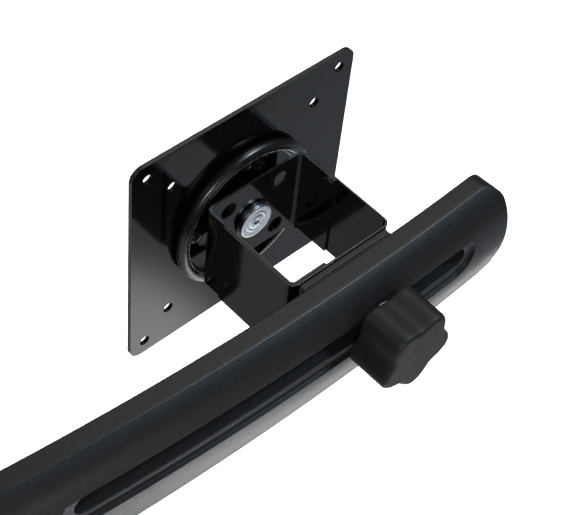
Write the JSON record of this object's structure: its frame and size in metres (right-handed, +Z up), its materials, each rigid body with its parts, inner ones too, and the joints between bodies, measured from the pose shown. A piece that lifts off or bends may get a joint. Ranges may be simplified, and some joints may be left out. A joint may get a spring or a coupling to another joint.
{
  "type": "monitor arm",
  "caption": "Curved slotted monitor arm wing on a swivelling pole hub, with a knob-clamped sliding box bracket and a rotating VESA plate.",
  "frame": {"origin": "on the pole's axis, at the underside of the support collar", "axes": "+Z up along the pole, +X from the pole towards the wing's free tip, +Y towards the monitor, -Y the clamp knob's side"},
  "size_m": [0.3447, 0.1051, 0.1156],
  "materials": {
    "satin_black": "satin black powder coat on cast aluminium",
    "gloss_black": "gloss black enamel on steel sheet",
    "zinc": "bright zinc plate",
    "dark_steel": "black oxide steel",
    "nylon": "black nylon",
    "white_nylon": "natural nylon",
    "knob_rubber": "matt soft-touch rubber",
    "brass": "machined brass"
  },
  "bodies": {
    "collar": {"support_collar": "satin_black", "collar_screw": "dark_steel", "collar_nut": "zinc", "thrust_washer": "white_nylon"},
    "wing": {"pole_hub": "satin_black", "lower_pole_bush": "nylon", "upper_pole_bush": "nylon", "wing_bar": "satin_black", "foot_screw_1": "dark_steel", "foot_screw_2": "dark_steel"},
    "carriage": {"slide_block": "satin_black", "slide_pad": "nylon", "bracket_inner_strap": "gloss_black", "bracket_outer_strap": "gloss_black", "clamp_bolt": "zinc", "pivot_spacer": "nylon"},
    "clamp": {"clamp_washer": "zinc"},
    "knob": {"knob_insert": "brass", "star_knob": "knob_rubber"},
    "plate": {"vesa_plate": "gloss_black", "swivel_dish": "gloss_black", "dish_rivet_1": "dark_steel", "dish_rivet_2": "dark_steel", "dish_rivet_3": "dark_steel", "dish_rivet_4": "dark_steel", "pivot_washer": "dark_steel", "pivot_stud": "zinc"}
  },
  "joints": [
    {"name": "arm_swivel", "type": "hinge", "parent": "collar", "child": "wing", "pos_m": [0, 0, 0.057], "axis": [0, 0, 1], "continuous": true},
    {"name": "head_slide", "type": "hinge", "parent": "wing", "child": "carriage", "pos_m": [0.24, 1.39, 0.057], "axis": [0, 0, 1], "range_deg": [-5.2, 1.5]},
    {"name": "plate_rotate", "type": "hinge", "parent": "carriage", "child": "plate", "pos_m": [0.24, 0.052, 0.052], "axis": [0, 1, 0], "continuous": true},
    {"name": "clamp_travel", "type": "slide", "parent": "carriage", "child": "clamp", "axis": [0, -1, 0], "range_m": [0, 0.0025]},
    {"name": "knob_turn", "type": "hinge", "parent": "clamp", "child": "knob", "pos_m": [0.24, -0.04, 0.057], "axis": [0, -1, 0], "range_deg": [0, 720]}
  ],
  "couplings": [
    {"joint": "clamp_travel", "follows": "knob_turn", "m_per_rad": 0.00019894}
  ]
}
